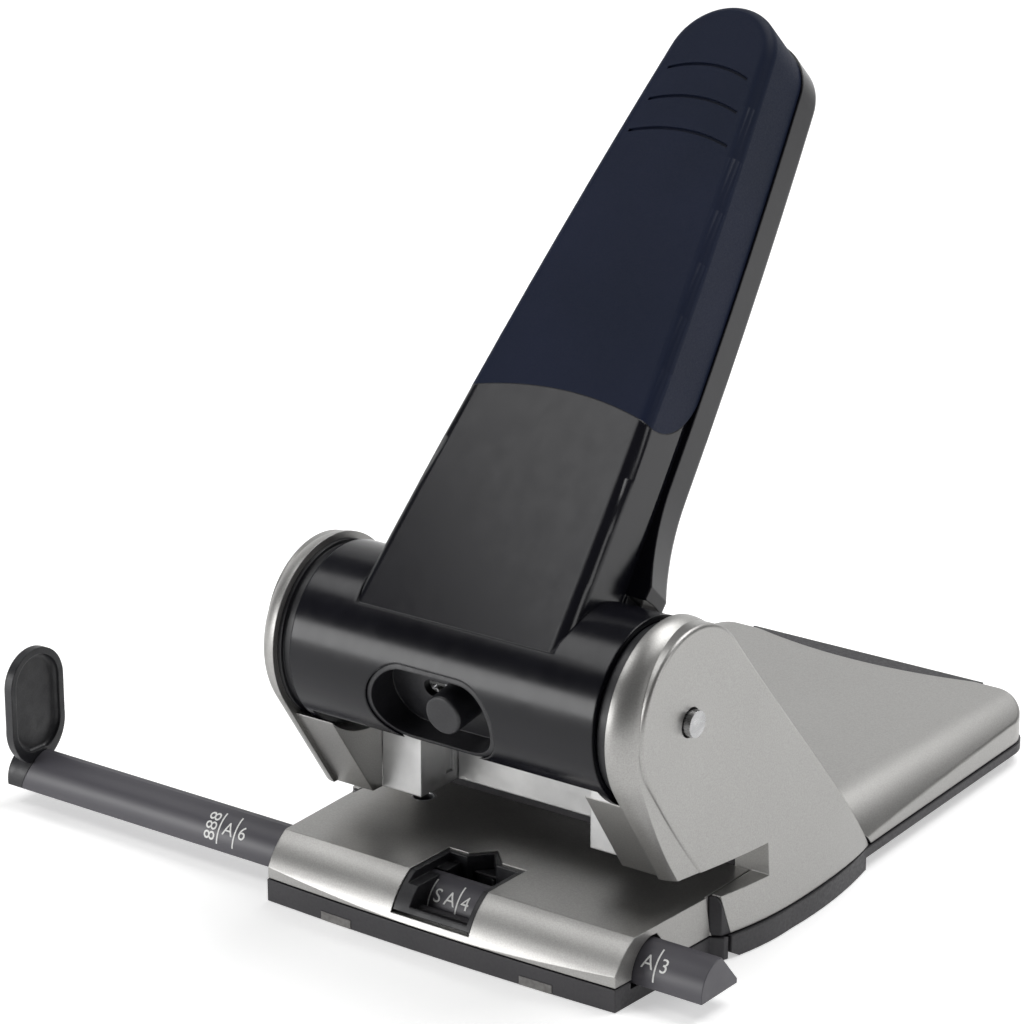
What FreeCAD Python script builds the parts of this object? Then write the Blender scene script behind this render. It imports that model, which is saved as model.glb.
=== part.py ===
"""Heavy-duty two-hole desk punch with a long lever, in millimetres.

Frame: origin on the table under the lever pivot, on the centre plane.
+X runs along the pivot, +Y runs towards the rear platform, +Z is up.
"""
import FreeCAD
import Part
import math
import os

V = FreeCAD.Vector

# ---- driving dimensions --------------------------------------------------
PIVOT_Z = 70.0            # height of the lever pivot
HOLE_SPACING = 80.0       # standard two-hole filing pattern
HOLE_D = 5.5              # punched hole
EDGE_DISTANCE = 12.0      # paper edge to hole centre
THROAT_Y = 33.5           # paper stop
THROAT_Z = (17.5, 26.5)   # platform top and jaw underside
PUNCH_X = HOLE_SPACING / 2
PUNCH_Y = THROAT_Y - EDGE_DISTANCE

FRONT_Y = -26.5           # front edge of the base
REAR_Y = 183.5            # rear edge of the base
REAR_CORNER = 12.5        # plan radius of the rear corners
SPLIT_Y = 17.0            # front pan ends, chip tray begins
HINGE = (17.6, 2.6)       # tray hinge axis (Y, Z)
STEP_Y = 84.0             # the tray floor steps up behind this line
STEP_Z = 3.5
SKIRT_Z = 6.5             # lower edge of the silver covers
WALL = 2.2
FRONT_HALF = 55.5
CHEEK_X = 52.0            # inner face of the cheeks beside the barrel
RIM_X = 60.0              # outer plane of the cheek rim
RIM_ROUND = 7.8           # rounding of the rim's outer edge
RIM_R = 25.6              # rim radius about the pivot
LEFT_INSET = 1.8          # the left cheek's head is this much flatter
PANEL_AT = (1.7, 71.5)    # centre of the raised panel's round head (Y, Z)
PANEL_R = 22.9
PANEL_EDGE = 1.0          # rounding of the panel's edge
FRONT_NORMAL = math.radians(213.9)   # outward normal of the rim's front-lower edge
PANEL_NORMAL = math.radians(217.5)   # the same for the panel
BACK_NORMAL = math.radians(40.4)     # outward normal of the back slope
FLANK = (                 # Y, then X of the side skin at the foot, the jaw and the head
    (-32.0, 52.0, 56.0, 60.0),
    (0.0, 55.0, 57.4, 60.4),
    (19.0, 60.9, 60.3, 60.7),
    (32.0, 63.2, 61.7, 60.9),
    (48.0, 63.9, 62.4, 61.0),
    (66.0, 63.2, 62.4, 61.0),
    (86.0, 60.4, 61.2, 60.8),
)

BARREL_R = 24.4
BARREL_HALF = 47.4
BARREL_WALL = 2.4
SHAFT_R = 4.2
SHAFT_FIT = 0.05          # radial running clearance
CLEAR_R = 25.2            # fixed parts stay outside this radius
CAM_R = 20.6              # cam nose radius about the pivot
CAM_START = math.radians(15.0)
CAM_NOSE = 4.5
BRIDGE_R = 7.6            # tube that ties the cam plates together
BOSS_Z = 45.0             # top of the punch guide's boss
STUD_R = 3.5              # shaft ends seen in the cheeks
STUD_HOLE_R = 3.95
STUD_FROM = 56.5

WINDOW_X = (-14.2, 10.8)   # scale window in the front cover
WINDOW_BACK = -0.9
JAMB_X = -9.2             # the lining's thick left jamb ends here
POINTER_X = -2.4
POINTER_HALF = 5.4

LEVER_TILT = 42.5         # lever leans back from the vertical
LEVER_FRONT = 24.38       # front face ahead of the pivot
LEVER_BACK = 5.0          # back face behind the pivot
LEVER_LOW = 0.5           # the lever's skin meets the barrel here
LEVER_END = 186.2         # lever tip above the pivot
LEVER_BASE_HALF = 32.9
LEVER_MID = (24.9, 100.0)
LEVER_TIP_R = 16.2
LEVER_ROUND = 3.4
LEVER_FLARE = (3.0, 30.0, 58.0)      # the back's extra half width, from and to these heights
ARCH_R = 26.6             # underside of the lever's back round the barrel
GRIP_CROWN = 69.0
GRIP_EDGE = 60.5          # height of the grip's front arc 40 mm to the side
GRIP_SIDE = 65.0          # the grip's lower edge where it turns onto the side
BACK_LEDGE = 0.6          # the back shell stands out this far beyond the grip
SEAM = 5.0                # seam between front and back lever shells
GRIP_SKIN = 1.8

BAR_LEFT = -156.5
BAR_RIGHT = 76.0
BAR_FOOT_Z = 5.0
BAR_FRONT_Y = -17.5
BAR_RIDGE = (-10.6, 14.6)
BAR_BACK_Y = -1.8
STOP_FACE_X = -149.0      # paper edge stop, as set for A4
STOP_PLAY = 0.5           # the stop stands this much outside half a sheet
STOP_THICK = 3.3
FORMAT_MARKS = (68.5, 74.0, 105.0, 139.7, 148.5, 165.0, 210.0)

RECESS_LEFT = -23.2
RECESS_RIGHT = 17.0
RECESS_LOW = -41.0        # degrees below the barrel's front line
RECESS_HIGH = 13.0
KNOB_X = 1.6
KNOB_R = 5.4
KNOB_REACH = (-10.7, 7.7)
KNOB_DROP = 10.5          # degrees below the barrel's front line
BOLT_R = 11.6             # outer face of the lock bolt


# ---- helpers -------------------------------------------------------------
def box(x, y, z):
    """Box from three (low, high) pairs."""
    size = (x[1] - x[0], y[1] - y[0], z[1] - z[0])
    return Part.makeBox(*size, V(x[0], y[0], z[0]))


def cyl_x(radius, x, y, z):
    """Cylinder along X between two X values."""
    return Part.makeCylinder(radius, x[1] - x[0], V(x[0], y, z), V(1, 0, 0))


def cyl_y(radius, x, y, z):
    """Cylinder along Y between two Y values."""
    return Part.makeCylinder(radius, y[1] - y[0], V(x, y[0], z), V(0, 1, 0))


def cyl_z(radius, x, y, z):
    """Cylinder along Z between two Z values."""
    return Part.makeCylinder(radius, z[1] - z[0], V(x, y, z[0]), V(0, 0, 1))


def path(items):
    """Closed wire from points; an item (middle, end) adds an arc through the middle point."""
    start = V(*items[0])
    here = start
    edges = []
    for item in items[1:] + [items[0]]:
        if isinstance(item[0], tuple):
            middle, end = V(*item[0]), V(*item[1])
            edges.append(Part.Arc(here, middle, end).toShape())
        else:
            end = V(*item)
            if here.distanceToPoint(end) > 1e-6:
                edges.append(Part.LineSegment(here, end).toShape())
        here = end
    return Part.Wire(edges)


def lift(items, place):
    """Turn a list of 2-D points and 2-D arcs into 3-D ones."""
    return [(place(i[0]), place(i[1])) if isinstance(i[0], tuple) else place(i) for i in items]


def prism_x(items, x):
    """Outline in Y and Z, extruded between two X values."""
    wire = path(lift(items, lambda p: (x[0], p[0], p[1])))
    return Part.Face(wire).extrude(V(x[1] - x[0], 0, 0))


def prism_y(items, y):
    """Outline in X and Z, extruded between two Y values."""
    wire = path(lift(items, lambda p: (p[0], y[0], p[1])))
    return Part.Face(wire).extrude(V(0, y[1] - y[0], 0))


def prism_z(items, z):
    """Outline in X and Y, extruded between two Z values."""
    wire = path(lift(items, lambda p: (p[0], p[1], z[0])))
    return Part.Face(wire).extrude(V(0, 0, z[1] - z[0]))


def mirrored(shape):
    """Mirror image across the centre plane."""
    return shape.mirror(V(0, 0, 0), V(1, 0, 0))


def both(shape):
    """The shape and its mirror image as a group of separate solids."""
    return Part.makeCompound([shape, mirrored(shape)])


def join(*shapes):
    """Fuse shapes and merge their coplanar faces."""
    first, rest = shapes[0], list(shapes[1:])
    return first.fuse(rest).removeSplitter()


def carve(shape, *tools):
    """Cut tools out of a shape."""
    return shape.cut(list(tools)).removeSplitter()


def round_edges(shape, radius, chosen):
    """Fillet the edges that a test picks."""
    edges = [e for e in shape.Edges if chosen(e)]
    return shape.makeFillet(radius, edges)


def on_pivot(angle, radius):
    """Point (Y, Z) at an angle above the rearward horizontal."""
    return (radius * math.cos(angle), PIVOT_Z + radius * math.sin(angle))


def save(name, shape):
    """Write a named STEP file of closed solids."""
    solids = shape.Solids
    assert solids and shape.isValid(), name
    out = solids[0] if len(solids) == 1 else Part.makeCompound(solids)
    out.exportStep(f"parts/{name}.step")
    print(f"{name:24s} solids {len(solids)} volume {out.Volume:10.1f}")


# ---- outlines ------------------------------------------------------------
def tangent_point(centre, radius, normal, z):
    """Point at height z on the circle's tangent that has the given normal."""
    y = centre[0] + (radius - (z - centre[1]) * math.sin(normal)) / math.cos(normal)
    return (y, z)


def cheek_outline(radius, jaw_z, foot_z, centre=(0.0, PIVOT_Z), front=FRONT_NORMAL):
    """Round head, straight front-lower edge down to the jaw and straight back slope."""
    def touch(normal):
        return (centre[0] + radius * math.cos(normal), centre[1] + radius * math.sin(normal))
    return [
        tangent_point(centre, radius, front, jaw_z),
        touch(front),
        (touch((front + BACK_NORMAL) / 2), touch(BACK_NORMAL)),
        tangent_point(centre, radius, BACK_NORMAL, foot_z),
        (THROAT_Y, foot_z),
        (THROAT_Y, jaw_z),
    ]


def side_plan(inset=0.0):
    """Plan of the whole base: bowed front, swelling sides, round rear corners."""
    def x(value):
        return value - inset
    rear = REAR_Y - inset
    front = FRONT_Y + inset
    corner = REAR_CORNER - inset
    diag = corner * (1 - math.sqrt(0.5))
    return [
        (-x(FRONT_HALF), front + 1.3),
        ((0, front), (x(FRONT_HALF), front + 1.3)),
        (x(57.4), 14.0),
        (x(60.5), 15.6),
        ((x(62.9), 26.0), (x(63.9), 42.0)),
        ((x(63.4), 64.0), (x(60.4), STEP_Y)),
        (x(57.0), rear - corner),
        ((x(57.0) - diag, rear - diag), (x(57.0) - corner, rear)),
        (-x(57.0) + corner, rear),
        ((-x(57.0) + diag, rear - diag), (-x(57.0), rear - corner)),
        (-x(60.4), STEP_Y),
        ((-x(63.4), 64.0), (-x(63.9), 42.0)),
        ((-x(62.9), 26.0), (-x(60.5), 15.6)),
        (-x(57.4), 14.0),
    ]


def front_profile(inset=0.0):
    """Side view of the front cover: convex sloping front and flat top."""
    top = THROAT_Z[0] - inset
    return [
        (FRONT_Y + inset, SKIRT_Z),
        ((-23.2 + inset, 12.6 - inset * 0.4), (-17.4 + inset * 0.6, top)),
        (THROAT_Y - 0.2, top),
        (THROAT_Y - 0.2, SKIRT_Z),
    ]


def bar_profile(grow=0.0):
    """Guide bar section: convex front, ridge and straight back."""
    ridge = (BAR_RIDGE[0] - grow * 0.4, BAR_RIDGE[1] + grow)
    return [
        (BAR_FRONT_Y - grow, BAR_FOOT_Z - grow),
        ((-16.2 - grow, 11.0 + grow * 0.4), ridge),
        (ridge[0] + 1.6 + grow, ridge[1]),
        (BAR_BACK_Y + grow, BAR_FOOT_Z + 1.2),
        (BAR_BACK_Y + grow, BAR_FOOT_Z - grow),
    ]


# ---- base body -----------------------------------------------------------
def window_tool(grow, z):
    """Column through the window: square with a pointer notch in its back edge."""
    low, high = WINDOW_X[0] - grow, WINDOW_X[1] + grow
    back = WINDOW_BACK + grow
    notch = POINTER_HALF + grow * 0.4
    return prism_z([
        (low, FRONT_Y + 0.5 - grow), (high, FRONT_Y + 0.5 - grow), (high, back),
        (POINTER_X + notch, back), (POINTER_X, back + 5.6), (POINTER_X - notch, back), (low, back),
    ], z)


def front_cover():
    """Silver shell that the paper lies on, open below, with the window cut in it."""
    outer = prism_x(front_profile(), (-66, 66)).common(prism_z(side_plan(), (0, 40)))
    inner = prism_x(front_profile(WALL), (-66, 66)).common(prism_z(side_plan(WALL), (0, 40)))
    shell = carve(outer, inner)
    sides = both(prism_x([(8.6, 40), (12.2, THROAT_Z[0]), (15.4, 0), (60, 0), (60, 40)], (56.6, 70)))
    behind = box((-70, 70), (16.0, 60), (0, THROAT_Z[0] - WALL))
    bar_way = prism_x(bar_profile(0.9), (-70, 70)).cut(box((-51, 51), (-60, 60), (-5, 30)))
    bores = [cyl_z(3.4, s * PUNCH_X, PUNCH_Y, (10, 20)) for s in (-1, 1)]
    window = window_tool(0.0, (8.2, 30))
    return carve(shell, sides, behind, bar_way, window, *bores)


def window_bezel():
    """Dark frame that lines the window down to the bar."""
    outer = window_tool(-0.15, (8.9, THROAT_Z[0] - 0.3))
    inner = window_tool(-1.7, (0, 30))
    jamb = box((WINDOW_X[0] + 0.2, JAMB_X), (FRONT_Y + 2, WINDOW_BACK), (8.9, THROAT_Z[0] - 2.6))
    frame = outer.cut([inner]).fuse(jamb).common(prism_x(front_profile(0.3), (-20, 20)))
    channel_back = box((-60, 60), (-1.4, 10), (0, 13.1))
    channel_front = box((-60, 60), (-21, -18.4), (0, 9.1))
    return carve(frame, prism_x(bar_profile(0.4), (-60, 60)), channel_back, channel_front)


def flank(inset):
    """Solid under the swelling side skin; the inset acts at the head and fades out downwards."""
    wires = []
    for y, foot, jaw, head in FLANK:
        wires.append(path([(40.0, y, SKIRT_Z), (foot, y, SKIRT_Z),
                           ((jaw - inset / 2, y, 30.0), (head - inset, y, 97.0)), (40.0, y, 97.0)]))
    return Part.makeLoft(wires, True, False)


def cheek(side):
    """Cheek with a rolled rim, a raised panel and the jaw over the paper throat."""
    jaw, floor = THROAT_Z[1], THROAT_Z[0]
    inset = 0.0 if side > 0 else LEFT_INSET
    rim_x = RIM_X - inset
    rim = prism_x(cheek_outline(RIM_R, jaw, SKIRT_Z), (CHEEK_X, rim_x))
    head = [e for e in rim.Edges if abs(e.CenterOfMass.x - rim_x) < 1e-4 and e.CenterOfMass.z > jaw + 4
            and (e.CenterOfMass.y < 10 or e.Length > 30)]
    rim = rim.makeFillet(RIM_ROUND - inset, head).common(flank(inset + 0.8))
    outline = cheek_outline(PANEL_R, jaw, SKIRT_Z, PANEL_AT, PANEL_NORMAL)
    panel = prism_x(outline, (CHEEK_X + 2, 70)).common(flank(inset))
    panel = round_edges(panel, PANEL_EDGE, lambda e: e.CenterOfMass.x > 56 and on_outline(e, jaw))
    lip = prism_x([(15.2, floor), (18.6, SKIRT_Z), (THROAT_Y + 2, SKIRT_Z), (THROAT_Y + 2, floor)],
                  (57.0, 70)).common(flank(inset))
    pivot = (0.0, PIVOT_Z)
    behind_line = tangent_point(pivot, 24.4, FRONT_NORMAL, jaw)
    top_line = tangent_point(pivot, 24.4, FRONT_NORMAL, 52.0)
    web = prism_x([behind_line, top_line, (3.8, 52.0), (3.8, jaw)], (40.0, CHEEK_X + 1))
    rear_web = prism_x([(36, 20.2), (36, 48), (44, 48), (66, 20.2)], (47.0, CHEEK_X + 1))
    whole = join(rim, panel, lip, web, rear_web)
    head_room = cyl_x(CLEAR_R, (30, CHEEK_X), 0, PIVOT_Z)
    shaft_hole = cyl_x(SHAFT_R, (40, STUD_FROM), 0, PIVOT_Z)
    stud_hole = cyl_x(STUD_HOLE_R, (50, 80), 0, PIVOT_Z)
    whole = carve(whole, head_room, shaft_hole, stud_hole)
    return whole if side > 0 else mirrored(whole)


def on_outline(edge, jaw):
    """True for the outer edges of the panel's head, front line and back slope."""
    at = edge.CenterOfMass
    along_x = abs(edge.Vertexes[0].X - edge.Vertexes[-1].X) > 4
    return not along_x and at.z > jaw + 2 and at.y < 60


def rear_cover():
    """Silver shell over the rear platform, with rounded shoulders and a shallow rear scoop."""
    y0 = THROAT_Y + 2.5
    behind = box((-70, 70), (y0, 200), (0, 40))
    block = shoulders(0.0).common(prism_z(side_plan(), (SKIRT_Z, 40))).common(behind)
    block = round_edges(block, 1.4, lambda e: e.CenterOfMass.z > THROAT_Z[0] - 0.1
                        and e.CenterOfMass.y > REAR_Y - 1)
    hollow = shoulders(WALL).common(prism_z(side_plan(WALL), (0, 40)))
    cheeks = both(prism_x(cheek_outline(RIM_R + 0.2, 0, -1), (CHEEK_X - 5.2, 80)))
    scoop = prism_z([(-40, REAR_Y + 5), (-40, REAR_Y - 0.2), ((0, REAR_Y - 6.5), (40, REAR_Y - 0.2)),
                     (40, REAR_Y + 5)], (0, 40))
    return carve(block, hollow, cheeks, scoop)


def shoulders(inset):
    """Section of the rear platform: flat top and quarter-round shoulders."""
    top, foot = THROAT_Z[0] - inset, SKIRT_Z - (1.0 if inset else 0.0)
    wide = 60.6 - inset
    bulge_x, bulge_z = 54.4 - inset * 0.7, 14.9 - inset * 0.7
    return prism_y([(-wide, foot), (wide, foot), (wide, foot + 1.6), ((bulge_x, bulge_z), (45.8, top)),
                    (-45.8, top), ((-bulge_x, bulge_z), (-wide, foot + 1.6))],
                   (0, 200))


def mechanism_cover():
    """Sloped silver bulkhead that closes the mechanism between the cheeks."""
    outer = prism_x([(36.2, THROAT_Z[0]), (36.2, 51), (39.5, 51), (64, THROAT_Z[0])], (-46.8, 46.8))
    inner = prism_x([(38.4, THROAT_Z[0] - 1), (38.4, 46.0), (60.2, THROAT_Z[0] - 1)], (-44.4, 44.4))
    return carve(outer, inner)


def punch_guide(side):
    """Die-cast guide block with the punch bore."""
    block = box((27.2, 40.0), (4.0, 34.0), (THROAT_Z[1], BOSS_Z - 1.5))
    flank_block = box((39.0, 51.8), (13.5, 34.0), (THROAT_Z[1], BOSS_Z - 1.5))
    boss = cyl_z(8.0, PUNCH_X, PUNCH_Y, (THROAT_Z[1], BOSS_Z))
    relief = box((27.0, 28.2), (15.0, 18.0), (THROAT_Z[1] + 3, BOSS_Z - 6))
    bore = cyl_z(HOLE_D / 2 + SHAFT_FIT, PUNCH_X, PUNCH_Y, (0, 90))
    room = cyl_x(CLEAR_R, (20, 60), 0, PIVOT_Z)
    whole = carve(join(block, flank_block, boss), relief, bore, room)
    return whole if side > 0 else mirrored(whole)


def guide_bridge():
    """Block between the towers, with a pocket in its face."""
    face = prism_x([(20.0, THROAT_Z[1]), (20.0, 50), (34.0, 50), (34.0, THROAT_Z[1])], (-27.0, 27.0))
    pocket = box((-22.0, 22.0), (23.0, 40.0), (20, 47.0))
    ribs = [box((x - 1.2, x + 1.2), (20.5, 34.0), (THROAT_Z[1], 47.5)) for x in (-9.0, 9.0)]
    room = cyl_x(CLEAR_R + 0.6, (-40, 40), 0, PIVOT_Z)
    return join(face.cut(pocket), *ribs).cut(room)


def paper_stop():
    """Back wall of the paper throat."""
    return box((-51.9, 51.9), (THROAT_Y, THROAT_Y + 2.3), (12.0, THROAT_Z[1]))


def chassis():
    """Steel plate that carries the dies, guides and cheeks."""
    plate = box((-52.0, 52.0), (3.0, 82.0), (9.0, 12.0))
    holes = [cyl_z(4.6, s * PUNCH_X, PUNCH_Y, (0, 20)) for s in (-1, 1)]
    screws = [cyl_z(2.3, s * 30.0, y, (0, 20)) for s in (-1, 1) for y in (28.5, 56.0)]
    return carve(plate, *holes, *screws)


def die_plate():
    """Hardened plate with a collar round each die hole."""
    plate = box((-50.5, 50.5), (10.0, 31.0), (12.0, THROAT_Z[0] - WALL))
    collars = [cyl_z(3.35, s * PUNCH_X, PUNCH_Y, (12.0, THROAT_Z[0])) for s in (-1, 1)]
    holes = [cyl_z(HOLE_D / 2 + SHAFT_FIT, s * PUNCH_X, PUNCH_Y, (0, 30)) for s in (-1, 1)]
    screws = [cyl_z(2.3, s * 30.0, 28.5, (0, 20)) for s in (-1, 1)]
    return carve(join(plate, *collars), *holes, *screws)


def frame_posts():
    """Spacers between the chassis plate and the rear cover."""
    posts = []
    for x in (-30.0, 30.0):
        post = cyl_z(4.5, x, 56.0, (12.0, THROAT_Z[0] - WALL))
        posts.append(post.cut(cyl_z(2.3, x, 56.0, (0, 30))))
    return Part.makeCompound(posts)


def screws(points, z_head, length):
    """Pan-head screws pointing up, as a group of separate solids."""
    group = []
    for x, y in points:
        head = cyl_z(3.8, x, y, (z_head - 2.2, z_head))
        shank = cyl_z(2.25, x, y, (z_head, z_head + length))
        slot = box((x - 3.0, x + 3.0), (y - 0.5, y + 0.5), (z_head - 2.3, z_head - 1.2))
        group.append(head.fuse(shank).cut(slot))
    return Part.makeCompound(group)


def pivot_shaft():
    """Shaft through both cheeks; its thinner ends show in them as round heads."""
    shaft = cyl_x(SHAFT_R - SHAFT_FIT, (0.1 - STUD_FROM, STUD_FROM - 0.1), 0, PIVOT_Z)
    return join(shaft, cyl_x(STUD_R, (-60.0, 61.9), 0, PIVOT_Z))


def spacer_rings():
    """Black rings that fill the gap between barrel and cheeks."""
    ring = cyl_x(22.8, (BARREL_HALF + 0.3, CHEEK_X), 0, PIVOT_Z)
    lip = cyl_x(23.8, (CHEEK_X - 1.2, CHEEK_X), 0, PIVOT_Z)
    whole = carve(join(ring, lip), cyl_x(SHAFT_R, (40, 60), 0, PIVOT_Z))
    return both(whole)


def side_strips():
    """Dark strips in the slanted joints between the front cover and the cheeks."""
    top, low = THROAT_Z[0] - 0.3, SKIRT_Z
    strip = prism_x([(12.4, top), (15.1, top), (18.4, low), (14.4, low)], (56.8, 64.0))
    return both(strip.common(prism_z(side_plan(0.6), (0, 40))))


def guide_channel():
    """Dark plastic channel in which the guide bar slides."""
    floor = box((-50.5, 50.5), (-20.5, 2.8), (2.6, 4.6))
    back = box((-50.5, 50.5), (-0.9, 2.8), (2.6, 13.0))
    front = box((-50.5, 50.5), (-20.5, -18.6), (2.6, 9.0))
    spring_slot = box((-9.0, 9.0), (-2.0, 0.6), (6.6, 12.4))
    return carve(join(floor, back, front), spring_slot)


def detent_spring():
    """Steel leaf whose nose rests behind the bar."""
    leaf = box((-8.6, 8.6), (-0.1, 0.5), (7.0, 12.0))
    nose = cyl_z(0.7, 0.0, -0.55, (7.0, 12.0))
    return join(leaf, nose)


def front_pan():
    """Dark plastic pan under the front of the base."""
    outer = prism_z(side_plan(-0.2), (0, SKIRT_Z - 0.4)).common(box((-80, 80), (-60, SPLIT_Y), (0, 30)))
    inner = prism_z(side_plan(2.2), (2.4, 30)).common(box((-80, 80), (-60, SPLIT_Y - 2.0), (0, 30)))
    bar_way = box((-80, 80), (-19.2, -0.6), (4.2, 30))
    chip_gap = box((-54, 54), (SPLIT_Y - 3, SPLIT_Y + 1), (4.6, 30))
    ears = []
    for x in (-38.0, -22.0, 22.0, 38.0):
        depth = (SPLIT_Y - 1.0, HINGE[0] + 1.8)
        ears.append(box((x - 1.8, x + 1.8), depth, (HINGE[1] - 1.6, HINGE[1] + 1.8)))
    rooms = [cyl_x(2.1, x, *HINGE) for x in ((-36.2, -23.8), (23.8, 36.2))]
    bores = [cyl_x(1.05, x, *HINGE) for x in ((-41, -19), (19, 41))]
    return carve(join(carve(outer, inner, bar_way, chip_gap), *ears), *rooms, *bores, *foot_pads(0.1, 2.4))


def foot_pads(grow, top):
    """Rubber pads let into the pan's front edge."""
    pads = []
    for x in (-32.0, 32.0):
        pads.append(box((x - 5 - grow, x + 5 + grow), (FRONT_Y - 1, -17.5 + grow), (0, top)).common(
            prism_z(side_plan(-0.3 - grow), (0, 30))))
    return pads


def front_feet():
    """Pads let into the pan's front edge."""
    return Part.makeCompound(foot_pads(0.0, 2.4))


def handle_frame(shape):
    """Move a part drawn upright about the origin to the leaning lever's place."""
    placed = shape.copy()
    placed.rotate(V(0, 0, 0), V(1, 0, 0), -LEVER_TILT)
    placed.translate(V(0, 0, PIVOT_Z))
    return placed


# ---- handle body ---------------------------------------------------------
def lever_outline(inset, low, flare):
    """Front view of the lever: gently swelling sides and a round end."""
    end_r = LEVER_TIP_R - inset
    centre = LEVER_END - LEVER_TIP_R
    lean = math.radians(7.5)
    top = (end_r * math.cos(lean), centre + end_r * math.sin(lean))
    mid_x = LEVER_MID[0] - inset
    base_x = LEVER_BASE_HALF - inset
    mid = LEVER_MID[1]
    sides = [(base_x, low), ((mid_x, mid), top), ((0, centre + end_r), (-top[0], top[1])),
             ((-mid_x, mid), (-base_x, low))]
    if not flare:
        return sides
    extra, flare_low, flare_top = LEVER_FLARE
    span = (flare_top - LEVER_LOW) / (mid - LEVER_LOW)
    waist = base_x + (mid_x - base_x) * span + 0.6
    skirt = base_x + extra
    knee = (waist + 0.32 * (skirt - waist), (flare_low + flare_top) / 2)
    return [(skirt, low), (skirt, flare_low), (knee, (waist, flare_top)), ((mid_x, mid), top),
            ((0, centre + end_r), (-top[0], top[1])), ((-mid_x, mid), (-waist, flare_top)),
            ((-knee[0], knee[1]), (-skirt, flare_low)), (-skirt, low)]


def lever_block(inset, low, radius, flare=False):
    """Solid lever between its front and back planes, with rounded edges."""
    block = prism_y(lever_outline(inset, low, flare), (-LEVER_FRONT + inset, LEVER_BACK - inset))
    return round_edges(block, radius, lambda e: abs(e.CenterOfMass.z - low) > 0.5
                       and (abs(e.CenterOfMass.y + LEVER_FRONT - inset) < 1e-3
                            or abs(e.CenterOfMass.y - LEVER_BACK + inset) < 1e-3))


def grip_zone():
    """Where the soft grip lies: bounded by an arc on the front and a sweep up the sides."""
    arc = [(-40, GRIP_EDGE), ((0, GRIP_CROWN), (40, GRIP_EDGE))]
    front = prism_y(arc + [(40, 260), (-40, 260)], (-60, -SEAM))
    side = prism_x([(-60, 50.0), (-LEVER_FRONT + 4, GRIP_SIDE),
                    ((-10.0, 70.6), (-SEAM, 86.0)), (-SEAM, 260), (-60, 260)], (-60, 60))
    return front.common(side)


def lever_parts():
    """Front shell, back shell and soft grip, hollow inside."""
    outer = lever_block(0.0, LEVER_LOW, LEVER_ROUND)
    core = lever_block(GRIP_SKIN, LEVER_LOW, 1.6)
    hollow = lever_block(4.4, LEVER_LOW - 2, 1.0)
    grip = outer.cut(core).common(grip_zone())
    behind = box((-60, 60), (-SEAM, 60), (10, 300)).cut(cyl_x(ARCH_R, (-60, 60), 0, 0))
    back = lever_block(-BACK_LEDGE, LEVER_LOW, 2.0, True).cut(hollow).common(behind)
    groove = box((-60, 60), (-SEAM - 3.0, -SEAM), (20, 300)).cut(lever_block(1.0, LEVER_LOW, 1.6))
    shell = outer.cut([grip, hollow, behind, groove])
    barrel_room = cyl_x(BARREL_R - BARREL_WALL + 0.05, (-60, 60), 0, 0)
    return shell.cut(barrel_room), back, grip


def grip_grooves(grip):
    """Three shallow curved grooves near the lever's end."""
    tools = []
    for centre, half in ((166.5, 12.4), (156.5, 13.8), (146.5, 15.4)):
        low = centre - 2.6
        ring = [(-half, low), ((0, centre), (half, low)), (half, low + 0.9),
                ((0, centre + 1.0), (-half, low + 0.9))]
        tools.append(prism_y(ring, (-LEVER_FRONT - 1, -LEVER_FRONT + 0.7)))
    return grip.cut(tools)


def edge_strips(shape):
    """Seams along the rounded front edge, so each strip of the rounding is narrow."""
    seams = [-LEVER_FRONT + LEVER_ROUND * (1 - math.cos(math.radians(a))) for a in (22.5, 45.0, 67.5)]
    limits = [-60] + seams + [60]
    strips = [shape.common(box((-60, 60), span, (-20, 300))) for span in zip(limits, limits[1:])]
    return strips[0].fuse(strips[1:])


def lever_core():
    """Steel arm inside the lever, bent round the hub plates."""
    arm = prism_y([(-20, 7.0), (20, 7.0), (20, 24), (9, 168), (-9, 168), (-20, 24)], (-10.0, -6.0))
    wings = [box((x - 1.5, x + 1.5), (-10.0, 0.3), (7.0, 60.0)) for x in (-17.0, 17.0)]
    return carve(join(arm, *wings), cyl_x(BRIDGE_R, (-60, 60), 0, 0))


def barrel_shell():
    """Black barrel: front, top and back of a tube, open below for the punch pins."""
    tube = cyl_x(BARREL_R, (-BARREL_HALF, BARREL_HALF), 0, PIVOT_Z)
    hollow = cyl_x(BARREL_R - BARREL_WALL, (-BARREL_HALF + 2.4, BARREL_HALF - 2.4), 0, PIVOT_Z)
    shaft = cyl_x(SHAFT_R, (-60, 60), 0, PIVOT_Z)
    low_front = on_pivot(math.radians(180 + 41), 60)
    low_back = on_pivot(math.radians(31), 60)
    mouth = prism_x([(0, PIVOT_Z), low_front, (low_front[0], 0), (low_back[0], 0), low_back], (-50, 50))
    hub_keep = cyl_x(9.0, (-60, 60), 0, PIVOT_Z)
    ends = [box(x, (-30, 30), (40, 100)) for x in ((-48, -45.0), (45.0, 48))]
    disc = tube.common(Part.makeCompound(ends))
    disc = disc.cut(prism_x([(12.0, 40), (12.0, 78), (40, 78), (40, 40)], (-50, 50)))
    shell = tube.cut(hollow).cut(mouth.cut(hub_keep)).fuse(disc)
    return carve(shell, shaft, recess_tool(0.0, 12.0, 40.0), lever_notch())


def lever_notch():
    """Room where the lever's base passes into the barrel."""
    return handle_frame(lever_block(-0.04, LEVER_LOW - 0.04, LEVER_ROUND))


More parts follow.
